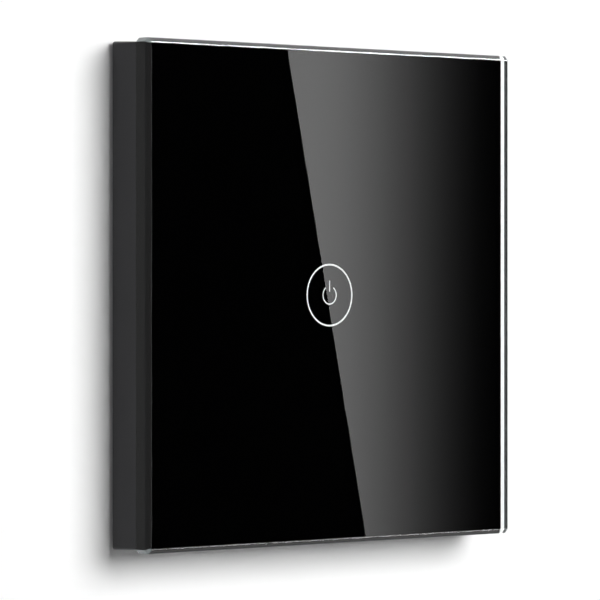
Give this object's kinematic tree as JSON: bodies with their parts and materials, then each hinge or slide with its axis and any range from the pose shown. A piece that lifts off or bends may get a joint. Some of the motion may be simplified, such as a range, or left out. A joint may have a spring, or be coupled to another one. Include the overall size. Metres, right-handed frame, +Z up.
{
  "type": "touch light switch",
  "caption": "Square black glass touch panel with a lit ring on a pull-off frame, over a wall-box module with a mounting plate, relay, boards and screw terminals.",
  "frame": {"origin": "centre of the wall-box screw pattern, on the plane where the mounting plate meets the wall", "axes": "+X to the right seen from the room, +Y into the wall, +Z up; the glass faces -Y"},
  "size_m": [0.08, 0.0335, 0.08],
  "materials": {
    "glass": "polished, with a ground bevel",
    "black_ink": "screen-printed black ink seen through the glass",
    "white_ink": "translucent white print, lit from behind",
    "foam": "foam tape",
    "frame_plastic": "fine spark-eroded texture",
    "zinc_steel": "zinc-plated sheet",
    "rubber": "moulded rubber",
    "housing_plastic": "moulded, satin",
    "screw_steel": "nickel-plated",
    "clear_plastic": "milky clear",
    "gold_plate": "thin gold plate",
    "board_laminate": "green solder mask",
    "black_moulding": "moulded",
    "led_lens": "cast resin",
    "film_case": "moulded case",
    "can_sleeve": "shrink sleeve",
    "ferrite": "sintered",
    "copper_wire": "enamelled wire",
    "varistor_lacquer": "dipped lacquer",
    "fuse_ceramic": "glazed tube with metal caps",
    "terminal_plastic": "moulded",
    "contact_brass": "stamped",
    "relay_case": "moulded",
    "bobbin_plastic": "moulded",
    "soft_iron": "nickel-plated soft iron"
  },
  "bodies": {
    "module": {"mounting_plate": "zinc_steel", "panel_grommets": "rubber", "rear_housing": "housing_plastic", "front_cover": "housing_plastic", "cover_screws": "screw_steel", "light_guide": "clear_plastic", "touch_spring": "gold_plate", "touch_board": "board_laminate", "touch_chip": "black_moulding", "indicator_leds": "led_lens", "board_socket": "black_moulding", "board_header": "black_moulding", "header_pins": "gold_plate", "power_board": "board_laminate", "board_screws": "screw_steel", "film_capacitor": "film_case", "electrolytic_capacitor": "can_sleeve", "choke_core": "ferrite", "choke_winding": "copper_wire", "varistor": "varistor_lacquer", "fuse": "fuse_ceramic", "terminal_block": "terminal_plastic", "terminal_contacts": "contact_brass", "relay_base": "black_moulding", "relay_cover": "relay_case", "relay_bobbin": "bobbin_plastic", "relay_winding": "copper_wire", "relay_core": "soft_iron", "relay_yoke": "soft_iron", "relay_fixed_contact": "contact_brass"},
    "panel": {"glass_panel": "glass", "back_print": "black_ink", "touch_icon": "white_ink", "adhesive_tape": "foam", "panel_frame": "frame_plastic"},
    "armature": {"relay_armature": "soft_iron", "relay_contact_blade": "contact_brass"},
    "clamp_screw_1": {"terminal_screw_1": "screw_steel"},
    "clamp_screw_2": {"terminal_screw_2": "screw_steel"},
    "clamp_screw_3": {"terminal_screw_3": "screw_steel"},
    "clamp_cage_1": {"terminal_cage_1": "zinc_steel"},
    "clamp_cage_2": {"terminal_cage_2": "zinc_steel"},
    "clamp_cage_3": {"terminal_cage_3": "zinc_steel"}
  },
  "joints": [
    {"name": "panel_pull", "type": "slide", "parent": "module", "child": "panel", "axis": [0, -1, 0], "range_m": [0, 0.015]},
    {"name": "armature_tip", "type": "hinge", "parent": "module", "child": "armature", "pos_m": [-0.0077, 0.016, -0.0003], "axis": [0, 0, -1], "range_deg": [0, 3], "stiffness_Nm_per_rad": 0.02, "springref_deg": -2.86},
    {"name": "screw_turn_1", "type": "hinge", "parent": "module", "child": "clamp_screw_1", "pos_m": [-0.008, 0.0184, -0.017], "axis": [0, -1, 0], "range_deg": [0, 2160]},
    {"name": "screw_turn_2", "type": "hinge", "parent": "module", "child": "clamp_screw_2", "pos_m": [0, 0.0184, -0.017], "axis": [0, -1, 0], "range_deg": [0, 2160]},
    {"name": "screw_turn_3", "type": "hinge", "parent": "module", "child": "clamp_screw_3", "pos_m": [0.008, 0.0184, -0.017], "axis": [0, -1, 0], "range_deg": [0, 2160]},
    {"name": "cage_rise_1", "type": "slide", "parent": "module", "child": "clamp_cage_1", "axis": [0, 1, 0], "range_m": [0, 0.003]},
    {"name": "cage_rise_2", "type": "slide", "parent": "module", "child": "clamp_cage_2", "axis": [0, 1, 0], "range_m": [0, 0.003]},
    {"name": "cage_rise_3", "type": "slide", "parent": "module", "child": "clamp_cage_3", "axis": [0, 1, 0], "range_m": [0, 0.003]}
  ],
  "couplings": [
    {"joint": "screw_turn_1", "follows": "cage_rise_1", "rad_per_m": 12566},
    {"joint": "screw_turn_2", "follows": "cage_rise_2", "rad_per_m": 12566},
    {"joint": "screw_turn_3", "follows": "cage_rise_3", "rad_per_m": 12566}
  ]
}
